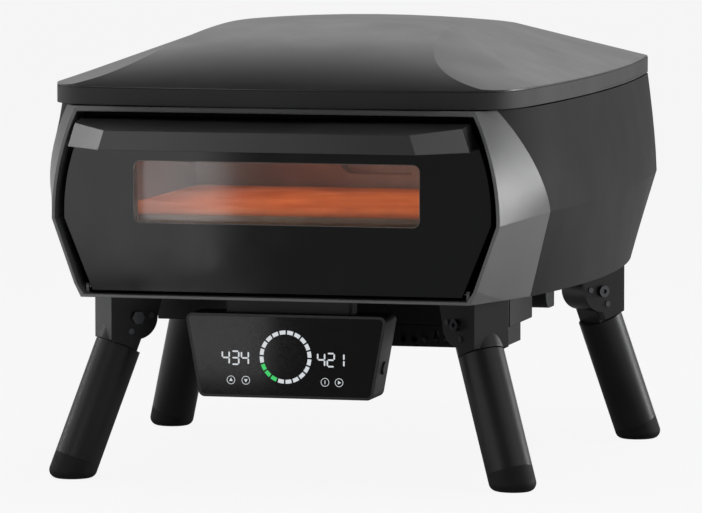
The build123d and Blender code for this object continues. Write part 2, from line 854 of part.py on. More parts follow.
with BuildPart() as door_frame:
    with BuildSketch(upright(frame_far)):
        door_outline()
    extrude(amount=door_frame_depth)
    with BuildSketch(upright(frame_far)):
        door_outline(door_wall)
    extrude(amount=door_frame_depth - door_skin, mode=Mode.SUBTRACT)
    with BuildSketch(upright(inner_glass_near)):
        window_outline(door_collar)
    extrude(amount=inner_glass_near - frame_near - door_skin)
    for side in (-1, 1):
        inner, outer = sorted((side * pin_inner, side * door_foot_half))
        block(inner, outer, frame_near, hinge_setback + hinge_boss_radius,
              door_foot_rise, hinge_rise + hinge_boss_radius)
    with BuildSketch(upright(frame_far + overrun)):
        window_outline()
        with Locations(*handle_screw_places()):
            Circle(handle_screw_radius + screw_fit)
    extrude(amount=door_frame_depth + 2 * overrun, mode=Mode.SUBTRACT)
    for side in (-1, 1):
        centre = hinge_place(side, pin_inner)
        rod(hinge_pin_radius + hinge_fit, centre, (side, 0, 0), pin_length, Mode.SUBTRACT)
save(door_frame, "door_frame")

with BuildPart() as door_inner_glass:
    with BuildSketch(upright(frame_far)):
        door_outline(door_wall)
    extrude(amount=inner_glass_thickness)
save(door_inner_glass, "door_inner_glass")

with BuildPart() as door_seal:
    with BuildSketch(upright(frame_far + seal_thickness)):
        door_outline(seal_inset)
        door_outline(seal_inset + seal_width, mode=Mode.SUBTRACT)
    extrude(amount=seal_thickness)
    fillet(door_seal.faces().sort_by(Axis.Y)[-1].edges(), seal_thickness / 3)
save(door_seal, "door_seal")

with BuildPart() as hinge_pins:
    for side in (-1, 1):
        rod(hinge_pin_radius, hinge_place(side, pin_inner), (side, 0, 0), pin_length)
save(hinge_pins, "hinge_pins")

# Handle: a bar with angled ends and a plate that closes its top
handle_face = door_setback - (handle_reach + door_setback)
handle_top_rear = handle_top + handle_rise
handle_depth = door_setback - handle_face
lean_share = (handle_low_half - handle_top_half) / (handle_top - handle_low)


def handle_outline(rise, inset):
    shift = lean_share * (rise - handle_low)
    turn = door_setback - handle_end_reach
    root = handle_root_half - inset
    with BuildLine() as outline:
        Polyline(
            (0, at(handle_face + inset)),
            (handle_low_half - shift - inset / 2, at(handle_face + inset)),
            (handle_end_half - shift - inset, at(turn + inset / 2)),
            (root, at(door_setback)),
            (0, at(door_setback)),
        )
        mirror(about=Plane.YZ)
    make_face(outline.edges())


def handle_solid(inset, drop, low):
    # the handle's outer form, or the space inside it
    slope = handle_rise / handle_depth
    with BuildPart() as form:
        for rise in (low, handle_top_rear):
            with BuildSketch(level_plan(rise)):
                handle_outline(rise, inset)
        loft(ruled=True)
        with BuildSketch(Plane.YZ):
            with BuildLine():
                Polyline(
                    (at(handle_face), high(handle_top - drop)),
                    (at(door_setback), high(handle_top_rear - drop)),
                    (at(door_setback), high(handle_top_rear + overrun)),
                    (at(handle_face - overrun), high(handle_top_rear + overrun)),
                    (at(handle_face - overrun), high(handle_top - drop - slope * overrun)),
                    (at(handle_face), high(handle_top - drop)),
                )
            make_face()
        extrude(amount=half_width, both=True, mode=Mode.SUBTRACT)
    return form.part


with BuildPart() as door_handle:
    add(handle_solid(0, 0, handle_low))
    add(handle_solid(handle_bar, handle_plate, handle_low - overrun), mode=Mode.SUBTRACT)
    with BuildSketch(upright(door_setback)):
        with Locations(*handle_screw_places()):
            Circle(handle_screw_radius + screw_fit)
    extrude(amount=handle_screw_length - door_glass_thickness - door_skin, mode=Mode.SUBTRACT)
save(door_handle, "door_handle")

with BuildPart() as handle_screws:
    with BuildSketch(upright(frame_near + door_skin)):
        with Locations(*handle_screw_places()):
            Circle(handle_screw_radius)
    extrude(amount=handle_screw_length)
    with BuildSketch(upright(frame_near + door_skin)):
        with Locations(*handle_screw_places()):
            Circle(handle_screw_head)
    extrude(amount=-handle_screw_head_height)
save(handle_screws, "handle_screws")

with BuildPart() as sill_pads:
    with BuildSketch(level_plan(opening_sill)):
        for share in sill_pad_shares:
            with Locations((share * opening_sill_half, at(mouth_setback / 2))):
                Circle(sill_pad_radius)
    extrude(amount=sill_pad_height)
save(sill_pads, "sill_pads")

# Duct tray under the base and the fan box under it
fan_centre = tray_setback + fan_box_length / 2
tray_low = -tray_depth
fan_box_low = tray_low - fan_box_depth
with BuildPart() as duct_tray:
    block(-tray_half, tray_half, tray_setback, tray_setback + tray_length, tray_low, 0)
    block(-tray_half + tray_sheet, tray_half - tray_sheet, tray_setback + tray_sheet,
          tray_setback + tray_length - tray_sheet, tray_low + tray_sheet, 0, Mode.SUBTRACT)
    chamfer(duct_tray.faces().sort_by(Axis.Z)[0].edges(), tray_sheet / 2)
    rod(fan_bore, (fan_middle, at(fan_centre), high(tray_low)), (0, 0, 1), tray_sheet, Mode.SUBTRACT)
save(duct_tray, "duct_tray")

with BuildPart() as fan_box:
    block(-fan_box_left, fan_box_right, tray_setback, tray_setback + fan_box_length, fan_box_low, tray_low)
    block(-fan_box_left + tray_sheet, fan_box_right - tray_sheet, tray_setback + tray_sheet,
          tray_setback + fan_box_length - tray_sheet, fan_box_low + tray_sheet, tray_low, Mode.SUBTRACT)
    slots_middle = fan_box_right - slot_margin - slot_width / 2 - (slot_count - 1) * slot_pitch / 2
    for near in (tray_setback + tray_sheet, tray_setback + fan_box_length):
        with BuildSketch(upright(near)):
            with Locations((slots_middle, high(tray_low - fan_box_depth / 2))):
                with GridLocations(slot_pitch, 0, slot_count, 1):
                    SlotOverall(slot_height, slot_width, rotation=90)
        extrude(amount=tray_sheet, mode=Mode.SUBTRACT)
save(fan_box, "fan_box")

fan_low = tray_low - fan_depth
with BuildPart() as fan_frame:
    half = fan_size / 2
    block(fan_middle - half, fan_middle + half, fan_centre - half, fan_centre + half, fan_low, tray_low)
    rod(fan_bore, (fan_middle, at(fan_centre), high(fan_low)), (0, 0, 1), fan_depth, Mode.SUBTRACT)
    for wide, long in ((fan_size - fan_corner_radius, fan_spoke), (fan_spoke, fan_size - fan_corner_radius)):
        block(fan_middle - wide / 2, fan_middle + wide / 2, fan_centre - long / 2, fan_centre + long / 2,
              fan_low, fan_low + fan_spoke_depth)
    rod(fan_hub, (fan_middle, at(fan_centre), high(fan_low)), (0, 0, 1), fan_spoke_depth)
    rod(fan_shaft_radius + hinge_fit, (fan_middle, at(fan_centre), high(fan_low)), (0, 0, 1),
        fan_spoke_depth, Mode.SUBTRACT)
    fillet(fan_frame.edges().filter_by(Axis.Z).group_by(SortBy.LENGTH)[-1], fan_corner_radius)
save(fan_frame, "fan_frame")

with BuildPart() as fan_rotor:
    rotor_low = fan_low + fan_spoke_depth + slack
    rotor_depth = fan_depth - fan_spoke_depth - 2 * slack
    rod(fan_hub, (fan_middle, at(fan_centre), high(rotor_low)), (0, 0, 1), rotor_depth)
    chamfer(fan_rotor.edges().sort_by(Axis.Z)[-1], fan_tip_gap)
    rod(fan_shaft_radius, (fan_middle, at(fan_centre), high(fan_low)), (0, 0, 1), fan_depth / 2)
    blade_tall = rotor_depth - 2 * fan_tip_gap
    for turn in range(fan_blade_count):
        spin = Rot(0, 0, turn * 360 / fan_blade_count)
        reach = fan_bore - fan_tip_gap - fan_hub / 2
        centre = Pos(fan_middle, at(fan_centre), high(rotor_low + rotor_depth / 2))
        blade = Pos(fan_hub / 2 + reach / 2, 0, 0) * Rot(fan_blade_lean, 0, 0) * Box(
            reach, fan_blade, blade_tall / cos(radians(fan_blade_lean)), mode=Mode.PRIVATE
        )
        add(centre * spin * blade)
save(fan_rotor, "fan_rotor")

with BuildPart() as fan_screws:
    with BuildSketch(level_plan(fan_low)):
        with Locations((fan_middle, at(fan_centre))):
            step = fan_size - 2 * fan_screw_inset
            with GridLocations(step, step, 2, 2):
                Circle(fan_screw_head)
    extrude(amount=-fan_screw_height)
save(fan_screws, "fan_screws")

# Mains inlet: housing open to the rear, with the socket in it
inlet_middle = inlet_inner + inlet_width / 2
inlet_far = inlet_setback + inlet_length
socket_rise = -inlet_depth / 2
with BuildPart() as inlet_housing:
    block(inlet_inner, inlet_inner + inlet_width, inlet_setback, inlet_far, -inlet_depth, 0)
    fillet(inlet_housing.edges().filter_by(Axis.X).group_by(Axis.Z)[0].sort_by(Axis.Y)[0], inlet_round)
    fillet(inlet_housing.edges().filter_by(Axis.X).group_by(Axis.Z)[0].sort_by(Axis.Y)[-1], inlet_wall)
    block(inlet_middle - socket_half_width, inlet_middle + socket_half_width, inlet_far - socket_depth,
          inlet_far, socket_rise - socket_height / 2, socket_rise + socket_height / 2, Mode.SUBTRACT)
save(inlet_housing, "inlet_housing")

with BuildPart() as power_inlet:
    block(inlet_middle - socket_half_width, inlet_middle + socket_half_width, inlet_far - socket_depth,
          inlet_far, socket_rise - socket_height / 2, socket_rise + socket_height / 2)
    with BuildSketch(upright(inlet_far)):
        with Locations((inlet_middle, high(socket_rise))):
            RectangleRounded(
                2 * (socket_half_width - inlet_wall / 2), socket_height - inlet_wall, inlet_wall
            )
    extrude(amount=socket_depth - inlet_wall, mode=Mode.SUBTRACT)
    with BuildSketch(upright(inlet_far - socket_depth + inlet_wall)):
        with Locations((inlet_middle, high(socket_rise))):
            with Locations((0, 0), (0, socket_pin_pitch), (0, -socket_pin_pitch)):
                Rectangle(3 * socket_pin, socket_pin)
    extrude(amount=-socket_pin_reach)
save(power_inlet, "power_inlet")

# Control panel: housing, glass, board, neck and the side button with its switch
panel_tall = panel_low_drop - panel_top_drop
panel_far = panel_setback + panel_depth
panel_slant = (panel_top_half - panel_low_half) / panel_tall


def panel_outline(inset=0.0, mode=Mode.ADD):
    # the panel's outline in X and Z with rounded corners
    side = inset * sqrt(1 + panel_slant**2)
    top_half = panel_top_half - side - panel_slant * inset
    low_half = panel_low_half - side + panel_slant * inset
    top, low = high(-panel_top_drop - inset), high(-panel_low_drop + inset)
    with BuildLine() as outline:
        FilletPolyline(
            (top_half, top), (low_half, low), (-low_half, low), (-top_half, top),
            radius=panel_radius - min(inset, panel_radius - panel_wall), close=True,
        )
    make_face(outline.edges(), mode=mode)


with BuildPart() as control_housing:
    with BuildSketch(upright(panel_far)):
        panel_outline()
    extrude(amount=panel_depth)
    chamfer(control_housing.faces().sort_by(Axis.Y)[-1].edges(), panel_edge)
    with BuildSketch(upright(panel_setback + panel_glass)):
        panel_outline(panel_glass_border)
    extrude(amount=panel_glass, mode=Mode.SUBTRACT)
    with BuildSketch(upright(panel_far - panel_wall)):
        panel_outline(panel_glass_border + panel_wall)
    extrude(amount=panel_depth - panel_wall - panel_glass, mode=Mode.SUBTRACT)
    button_half = panel_low_half + panel_slant * button_rise
    button_face = Plane(
        origin=(button_half, at(panel_setback + button_back), high(button_rise - panel_low_drop)),
        x_dir=(0, 1, 0), z_dir=(1, 0, -panel_slant),
    )
    button_bore = panel_glass_border + panel_wall + button_travel
    with BuildSketch(button_face):
        Circle(button_radius + button_fit)
    extrude(amount=-2 * button_bore, mode=Mode.SUBTRACT)
save(control_housing, "control_housing")

with BuildPart() as control_glass:
    with BuildSketch(upright(panel_setback + panel_glass)):
        panel_outline(panel_glass_border)
    extrude(amount=panel_glass)
save(control_glass, "control_glass")

with BuildPart() as display_board:
    board_near = panel_setback + panel_glass + display_gap
    with BuildSketch(upright(board_near + display_thickness)):
        panel_outline(display_border)
    extrude(amount=display_thickness)
    with BuildSketch(upright(panel_far - panel_wall)):
        middle = high(-(panel_top_drop + panel_low_drop) / 2)
        with Locations((0, middle)):
            with GridLocations(2 * display_post_half, panel_tall / 2, 2, 2):
                Circle(display_post)
    extrude(amount=panel_far - panel_wall - board_near - display_thickness)
save(display_board, "display_board")

with BuildPart() as panel_neck:
    block(-neck_half, neck_half, neck_setback, neck_setback + neck_depth, -panel_top_drop, 0)
    fillet(panel_neck.edges().filter_by(Axis.Z), panel_radius / 2)
save(panel_neck, "panel_neck")

button_wall = panel_glass_border + panel_wall
button_low = -button_wall - slack - button_flange_depth
with BuildPart() as side_button:
    with BuildSketch(button_face.offset(button_low)):
        Circle(button_radius)
    extrude(amount=button_proud - button_low)
    chamfer(side_button.edges().group_by(Axis.X)[-1], button_proud / 4)
    with BuildSketch(button_face.offset(button_low)):
        Circle(button_radius + button_flange)
    extrude(amount=button_flange_depth)
save(side_button, "side_button")

with BuildPart() as button_switch:
    with BuildSketch(button_face.offset(button_low - button_travel - slack)):
        reach = panel_depth - panel_wall - button_back + switch_size / 2
        with Locations((reach / 2 - switch_size / 2, 0)):
            Rectangle(reach, switch_size)
    extrude(amount=-switch_depth)
save(button_switch, "button_switch")

# Electronics on the base plate behind the chamber
board_low = sheet + board_rise
board_setback = back_far + insulation_thickness + board_gap + board_length / 2
with BuildPart() as power_board:
    block(-board_half, board_half, board_setback - board_length / 2, board_setback + board_length / 2,
          board_low, board_low + board_thickness)
    with BuildSketch(level_plan(sheet)):
        with Locations((0, at(board_setback))):
            with GridLocations(2 * (board_half - post_inset), board_length - 2 * post_inset, 2, 2):
                Circle(post_radius)
    extrude(amount=board_rise)
save(power_board, "power_board")

board_top = board_low + board_thickness
with BuildPart() as relays:
    with BuildSketch(level_plan(board_top)):
        with Locations((-board_half / 2, at(board_setback))):
            with GridLocations(relay_pitch, relay_pitch, 2, 2):
                RectangleRounded(relay_size, relay_size, post_radius / 3)
    extrude(amount=relay_height)
save(relays, "relays")

with BuildPart() as heat_sink:
    with BuildSketch(level_plan(board_top)):
        with Locations((board_half / 2, at(board_setback))):
            Rectangle(sink_width, sink_length)
    extrude(amount=sink_fin)
    with BuildSketch(level_plan(board_top + sink_fin)):
        with Locations((board_half / 2, at(board_setback))):
            with GridLocations((sink_width - sink_fin) / (sink_fin_count - 1), 0, sink_fin_count, 1):
                Rectangle(sink_fin, sink_length)
    extrude(amount=sink_height - sink_fin)
save(heat_sink, "heat_sink")

# Folding legs
pivot_height = base_height - pivot_drop
leg_length = pivot_height / cos(radians(leg_tilt))
leg_swing = pivot_height * tan(radians(leg_tilt))
tube_end = leg_length - foot_length
bracket_half = bracket_width / 2
inner_half = bracket_half - bracket_sheet
web_near = pivot_drop - bracket_sheet
foot_points = {
    "front": (front_foot_half, front_foot_setback, front_splay, -1),
    "rear": (rear_foot_half, rear_foot_setback, rear_splay, 1),
}
corners = [(end, side) for end in ("front", "rear") for side in ("left", "right")]


def leg_plane(end, side):
    # origin on the pivot, x outward along the leg's plan direction, y up
    foot_half, foot_setback, splay, ahead = foot_points[end]
    turn = -1 if side == "left" else 1
    out = (turn * sin(radians(splay)), ahead * cos(radians(splay)))
    origin = (turn * foot_half - leg_swing * out[0], at(foot_setback) - leg_swing * out[1], pivot_height)
    return Plane(origin=origin, x_dir=(out[0], out[1], 0), z_dir=(out[1], -out[0], 0))


def along_leg(plane, distance):
    # a plane square to the leg's own line, its z pointing down the leg
    tilt = radians(leg_tilt)
    spot = plane.from_local_coords(Vector(distance * sin(tilt), -distance * cos(tilt), 0))
    down = plane.from_local_coords(Vector(sin(tilt), -cos(tilt), 0)) - plane.origin
    return Plane(origin=spot, x_dir=plane.z_dir, z_dir=down)


def leg_bracket(plane):
    tilt = radians(leg_tilt)
    toe = (socket_end * sin(tilt), -socket_end * cos(tilt))
    with BuildPart() as bracket:
        with BuildSketch(plane):
            with BuildLine():
                Polyline(
                    (-cheek_radius, 0), (-bracket_tail, pivot_drop), (pivot_drop, pivot_drop),
                    (pivot_drop, -bracket_low), toe, (0, -cheek_radius),
                )
                RadiusArc((0, -cheek_radius), (-cheek_radius, 0), cheek_radius)
            make_face()
        extrude(amount=bracket_half, both=True)
        with BuildSketch(along_leg(plane, 0)):
            Circle(leg_radius)
        extrude(amount=socket_end, both=True)
        with BuildSketch(plane):
            with BuildLine():
                Polyline(
                    (0, 0), (2 * toe[0], 2 * toe[1]), (-2 * socket_end, -2 * socket_end),
                    (-2 * socket_end, 0), (0, 0),
                )
            make_face()
            Circle(socket_end, mode=Mode.SUBTRACT)
        extrude(amount=bracket_width, both=True, mode=Mode.SUBTRACT)
        with BuildSketch(plane):
            with Locations((0, pivot_drop + leg_length / 2)):
                Rectangle(2 * leg_length, leg_length)
        extrude(amount=bracket_width, both=True, mode=Mode.SUBTRACT)
        with BuildSketch(plane):
            with Locations((web_near - leg_length / 2, web_near - leg_length / 2)):
                Rectangle(leg_length, leg_length)
        extrude(amount=inner_half, both=True, mode=Mode.SUBTRACT)
        with BuildSketch(plane.offset(bracket_half)):
            with Locations((web_near - leg_length / 2, 0)):
                Rectangle(leg_length, 2 * leg_length)
        extrude(amount=leg_radius, mode=Mode.SUBTRACT)
        with BuildSketch(plane.offset(-bracket_half)):
            with Locations((web_near - leg_length / 2, 0)):
                Rectangle(leg_length, 2 * leg_length)
        extrude(amount=-leg_radius, mode=Mode.SUBTRACT)
        with BuildSketch(plane):
            Circle(bolt_radius + bolt_fit)
        extrude(amount=bracket_half, both=True, mode=Mode.SUBTRACT)
    return bracket


def leg_knuckle(plane):
    with BuildPart() as knuckle:
        with BuildSketch(along_leg(plane, 0)):
            Rectangle(2 * (inner_half - knuckle_gap), 2 * knuckle_neck_half)
        extrude(amount=leg_start)
        with BuildSketch(plane):
            Circle(cheek_radius)
        extrude(amount=inner_half - knuckle_gap, both=True)
        with BuildSketch(along_leg(plane, leg_start)):
            Circle(leg_radius - leg_wall)
        extrude(amount=plug_length)
        with BuildSketch(plane):
            Circle(bolt_radius + bolt_fit)
        extrude(amount=bracket_half, both=True, mode=Mode.SUBTRACT)
    return knuckle


def leg_tube(plane):
    with BuildPart() as tube:
        with BuildSketch(along_leg(plane, leg_start)):
            Circle(leg_radius)
            Circle(leg_radius - leg_wall, mode=Mode.SUBTRACT)
        extrude(amount=tube_end - leg_start)
    return tube


def leg_foot(plane):
    with BuildPart() as foot:
        with BuildSketch(along_leg(plane, tube_end)):
            Circle(leg_radius)
        extrude(amount=2 * foot_length)
        with BuildSketch():
            with Locations((plane.origin.X, plane.origin.Y)):
                Rectangle(4 * leg_length, 4 * leg_length)
        extrude(amount=-leg_length, mode=Mode.SUBTRACT)
        fillet(foot.edges().group_by(Axis.Z)[0], foot_round)
        with BuildSketch(along_leg(plane, tube_end)):
            Circle(leg_radius - leg_wall)
        extrude(amount=-foot_spigot)
    return foot


for end, side in corners:
    plane = leg_plane(end, side)
    save(leg_bracket(plane), f"leg_bracket_{end}_{side}")
    save(leg_knuckle(plane), f"leg_knuckle_{end}_{side}")
    save(leg_tube(plane), f"leg_tube_{end}_{side}")
    save(leg_foot(plane), f"leg_foot_{end}_{side}")

with BuildPart() as pivot_bolts:
    for end, side in corners:
        plane = leg_plane(end, side)
        with BuildSketch(plane):
            Circle(bolt_radius)
        extrude(amount=bracket_half, both=True)
        with BuildSketch(plane.offset(bracket_half)):
            Circle(bolt_head_radius)
        extrude(amount=bolt_head_height)
        with BuildSketch(plane.offset(bracket_half + bolt_head_height)):
            RegularPolygon(bolt_key / 2, 6, major_radius=False)
        extrude(amount=-bolt_key_depth, mode=Mode.SUBTRACT)
        with BuildSketch(plane.offset(-bracket_half)):
            RegularPolygon(nut_flats / 2, 6, major_radius=False)
        extrude(amount=-nut_height)
save(pivot_bolts, "leg_pivot_bolts")

with BuildPart() as detent_rivets:
    for end, side in corners:
        plane = leg_plane(end, side)
        for outer, way in ((plane.offset(bracket_half), 1), (plane.offset(-bracket_half), -1)):
            with BuildSketch(outer):
                for angle in rivet_angles:
                    with PolarLocations(rivet_offset, 1, start_angle=angle):
                        Circle(rivet_radius)
            extrude(amount=way * rivet_height)
save(detent_rivets, "leg_detent_rivets")

with BuildPart() as bracket_screws:
    for end, side in corners:
        plane = leg_plane(end, side)
        top = Plane(origin=plane.origin + Vector(0, 0, web_near), x_dir=plane.x_dir, z_dir=(0, 0, 1))
        with BuildSketch(top):
            with GridLocations(2 * bracket_screw_place, bracket_screw_place, 2, 2):
                Circle(bracket_screw_radius)
        extrude(amount=-bracket_screw_height)
save(bracket_screws, "bracket_screws")
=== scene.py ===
import json
import math

import bmesh
import bpy
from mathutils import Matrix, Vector


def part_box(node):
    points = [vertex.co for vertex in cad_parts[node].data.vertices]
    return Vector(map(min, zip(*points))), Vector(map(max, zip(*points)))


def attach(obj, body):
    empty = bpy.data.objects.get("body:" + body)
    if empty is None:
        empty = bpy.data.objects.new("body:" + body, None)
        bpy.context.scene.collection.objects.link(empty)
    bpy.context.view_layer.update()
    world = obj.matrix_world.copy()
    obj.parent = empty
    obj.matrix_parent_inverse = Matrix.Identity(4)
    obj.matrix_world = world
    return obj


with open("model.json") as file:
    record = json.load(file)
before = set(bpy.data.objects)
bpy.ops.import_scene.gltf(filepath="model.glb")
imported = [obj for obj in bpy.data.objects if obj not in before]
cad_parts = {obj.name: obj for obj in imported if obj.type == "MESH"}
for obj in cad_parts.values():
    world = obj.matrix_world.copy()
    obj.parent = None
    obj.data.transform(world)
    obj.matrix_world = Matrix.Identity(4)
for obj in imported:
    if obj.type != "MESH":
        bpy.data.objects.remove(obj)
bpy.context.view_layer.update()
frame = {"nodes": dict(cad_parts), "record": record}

mm = 0.001


def toLinear(hexColour):
    parts = [int(hexColour[i:i + 2], 16) / 255 for i in (1, 3, 5)]
    return tuple(c / 12.92 if c <= 0.04045 else ((c + 0.055) / 1.055) ** 2.4 for c in parts) + (1.0,)


def addNode(tree, kind, settings=None, **inputs):
    # adds a node; an input is a value or another node's socket, named or numbered (i6 is input 6)
    made = tree.nodes.new(kind)
    for key, value in (settings or {}).items():
        setattr(made, key, value)
    for key, value in inputs.items():
        numbered = key[0] == "i" and key[1:].isdigit()
        socket = made.inputs[int(key[1:]) if numbered else key.replace("_", " ")]
        if isinstance(value, bpy.types.NodeSocket):
            tree.links.new(value, socket)
        else:
            socket.default_value = value
    return made


def startMaterial(name, **sockets):
    # a new material, its node tree and shader, and a point's place in the frame in metres
    material = bpy.data.materials.new(name)
    material.use_nodes = True
    tree = material.node_tree
    shader = tree.nodes["Principled BSDF"]
    for key, value in sockets.items():
        shader.inputs[key.replace("_", " ")].default_value = value
    place = addNode(tree, "ShaderNodeTexCoord").outputs["Object"]
    return material, tree, shader, place


finishes = {}   # a material for each slot that the record names

# powder coats: dark and light are the two tones of its clouds, peel the size of its grain, edge how far
# a fold is rounded; below matteBelow the coat is duller; all in mm
coats = {
    "lid_coat": {"name": "lidPowderCoat", "dark": "#0f0f10", "light": "#161617",
                 "rough": 0.30, "gloss": 0.40, "peel": 0.9, "edge": 0.8, "matteBelow": 429.0},
    "body_coat": {"name": "bodyPowderCoat", "dark": "#121213", "light": "#18181a",
                  "rough": 0.60, "gloss": 0.10, "peel": 0.9, "edge": 0.8},
    "bezel_coat": {"name": "bezelPowderCoat", "dark": "#484849", "light": "#545455",
                   "rough": 0.40, "gloss": 0.40, "peel": 0.7, "edge": 1.7},
    "leg_coat": {"name": "legPowderCoat", "dark": "#0e0e0f", "light": "#141415",
                 "rough": 0.42, "gloss": 0.30, "peel": 0.7, "edge": 0.8},
    "handle_coat": {"name": "handlePowderCoat", "dark": "#151516", "light": "#1c1c1d",
                    "rough": 0.30, "gloss": 0.29, "peel": 0.6, "edge": 1.1},
    "under_coat": {"name": "undersidePowderCoat", "dark": "#0c0c0d", "light": "#121213",
                   "rough": 0.52, "gloss": 0.20, "peel": 1.0, "edge": 0.8},
    "frame_coat": {"name": "doorFrameEnamel", "dark": "#080809", "light": "#0d0d0e",
                   "rough": 0.40, "gloss": 0.30, "peel": 0.8, "edge": 0.8},
}
# cloud and depth of grain in mm, the rest is what roughness loses or gains
coatSurface = {"cloud": 90.0, "smoother": 0.03, "rougher": 0.04, "duller": 0.33, "depth": 0.011}


def powderCoat(name, dark, light, rough, gloss, peel, edge, matteBelow=0.0):
    # polyester powder baked on steel: satin black, fine orange peel, folded edges that catch a soft line
    material, tree, shader, place = startMaterial(name, IOR=1.5, Specular_IOR_Level=gloss)
    clouds = addNode(tree, "ShaderNodeTexNoise", Vector=place,
                     Scale=1 / (coatSurface["cloud"] * mm), Detail=3.0).outputs["Fac"]
    grain = addNode(tree, "ShaderNodeTexNoise", Vector=place,
                    Scale=1 / (peel * mm), Detail=2.0).outputs["Fac"]
    shade = addNode(tree, "ShaderNodeMapRange", Value=clouds, From_Min=0.3, From_Max=0.7).outputs[0]
    colour = addNode(tree, "ShaderNodeMix", {"data_type": "RGBA"},
                     i0=shade, i6=toLinear(dark), i7=toLinear(light))
    satin = addNode(tree, "ShaderNodeMapRange", Value=clouds, From_Min=0.3, From_Max=0.7,
                    To_Min=rough - coatSurface["smoother"], To_Max=rough + coatSurface["rougher"]).outputs[0]
    if matteBelow:
        rise = addNode(tree, "ShaderNodeSeparateXYZ", Vector=place).outputs["Z"]
        dull = addNode(tree, "ShaderNodeMapRange", Value=rise, From_Min=(matteBelow - 1) * mm,
                       From_Max=matteBelow * mm, To_Min=coatSurface["duller"], To_Max=0.0).outputs[0]
        satin = addNode(tree, "ShaderNodeMath", {"operation": "ADD"}, i0=satin, i1=dull).outputs[0]
    folds = addNode(tree, "ShaderNodeBevel", {"samples": 4}, Radius=edge * mm)
    bump = addNode(tree, "ShaderNodeBump", Height=grain, Strength=0.4,
                   Distance=coatSurface["depth"] * mm, Normal=folds.outputs[0])
    tree.links.new(colour.outputs[2], shader.inputs["Base Color"])
    tree.links.new(satin, shader.inputs["Roughness"])
    tree.links.new(bump.outputs[0], shader.inputs["Normal"])
    return material


for slot, values in coats.items():
    finishes[slot] = powderCoat(**values)

# the window in the door's print, in mm; line is the colour of a painted highlight: a light line painted round
# the window's edge, standing in for the lit frame seen through the glass
doorWindow = {
    "half": 157.1, "low": 283.6, "high": 350.8, "corner": 8.0, "edge": 1.3, "line": "#8d8480",
    "dark": "#050506", "light": "#0a0b0c", "gloss": 0.12, "smear": 60.0, "smooth": 0.06, "rough": 0.13,
}
pane = {"index": 1.2, "rough": 0.08}
innerPane = {"film": 45.0, "dark": "#2c211a", "light": "#46342a", "least": 0.03, "most": 0.12, "rough": 0.05}


def clearPane(tree):
    # coated glass: what lies behind it, under a faint reflection on each of its faces
    behind = addNode(tree, "ShaderNodeBsdfTransparent").outputs[0]
    mirror = addNode(tree, "ShaderNodeBsdfGlossy", Roughness=pane["rough"]).outputs[0]
    share = addNode(tree, "ShaderNodeFresnel", IOR=pane["index"]).outputs[0]
    return addNode(tree, "ShaderNodeMixShader", i0=share, i1=behind, i2=mirror).outputs[0]


def frittedGlass():
    # toughened float glass, black enamel fired on it except over the window: mirror black around a clear pane
    material, tree, shader, place = startMaterial("frittedGlass", IOR=1.5,
                                                  Specular_IOR_Level=doorWindow["gloss"])
    corner, edge = doorWindow["corner"] * mm, doorWindow["edge"] * mm
    middle = (doorWindow["low"] + doorWindow["high"]) / 2 * mm
    halfSize = (doorWindow["half"] * mm, 1.0, (doorWindow["high"] - doorWindow["low"]) / 2 * mm)
    inward = [size - corner for size in halfSize]
    away = addNode(tree, "ShaderNodeVectorMath", {"operation": "SUBTRACT"}, i0=place, i1=(0, 0, middle))
    folded = addNode(tree, "ShaderNodeVectorMath", {"operation": "ABSOLUTE"}, i0=away.outputs[0])
    past = addNode(tree, "ShaderNodeVectorMath", {"operation": "SUBTRACT"}, i0=folded.outputs[0], i1=inward)
    outside = addNode(tree, "ShaderNodeVectorMath", {"operation": "MAXIMUM"},
                      i0=past.outputs[0], i1=(0, 0, 0))
    reach = addNode(tree, "ShaderNodeVectorMath", {"operation": "LENGTH"}, i0=outside.outputs[0])
    window = addNode(tree, "ShaderNodeMapRange", Value=reach.outputs["Value"],
                     From_Min=corner - edge, From_Max=corner, To_Min=1.0, To_Max=0.0).outputs[0]
    smear = addNode(tree, "ShaderNodeTexNoise", Vector=place,
                    Scale=1 / (doorWindow["smear"] * mm), Detail=4.0).outputs["Fac"]
    black = addNode(tree, "ShaderNodeMix", {"data_type": "RGBA"}, i0=smear,
                    i6=toLinear(doorWindow["dark"]), i7=toLinear(doorWindow["light"])).outputs[2]
    # painted highlight: near the window's edge the black turns to the light line colour, standing in for the
    # lit frame seen through the glass
    lit = addNode(tree, "ShaderNodeMapRange", Value=window, From_Min=0.0, From_Max=0.5, To_Max=0.8).outputs[0]
    colour = addNode(tree, "ShaderNodeMix", {"data_type": "RGBA"},
                     i0=lit, i6=black, i7=toLinear(doorWindow["line"]))
    gloss = addNode(tree, "ShaderNodeMapRange", Value=smear, From_Min=0.35, From_Max=0.7,
                    To_Min=doorWindow["smooth"], To_Max=doorWindow["rough"])
    tree.links.new(colour.outputs[2], shader.inputs["Base Color"])
    tree.links.new(gloss.outputs[0], shader.inputs["Roughness"])
    clear = addNode(tree, "ShaderNodeMath", {"operation": "GREATER_THAN"}, i0=window, i1=0.6).outputs[0]
    both = addNode(tree, "ShaderNodeMixShader", i0=clear, i1=shader.outputs[0], i2=clearPane(tree))
    tree.links.new(both.outputs[0], tree.nodes["Material Output"].inputs["Surface"])
    return material


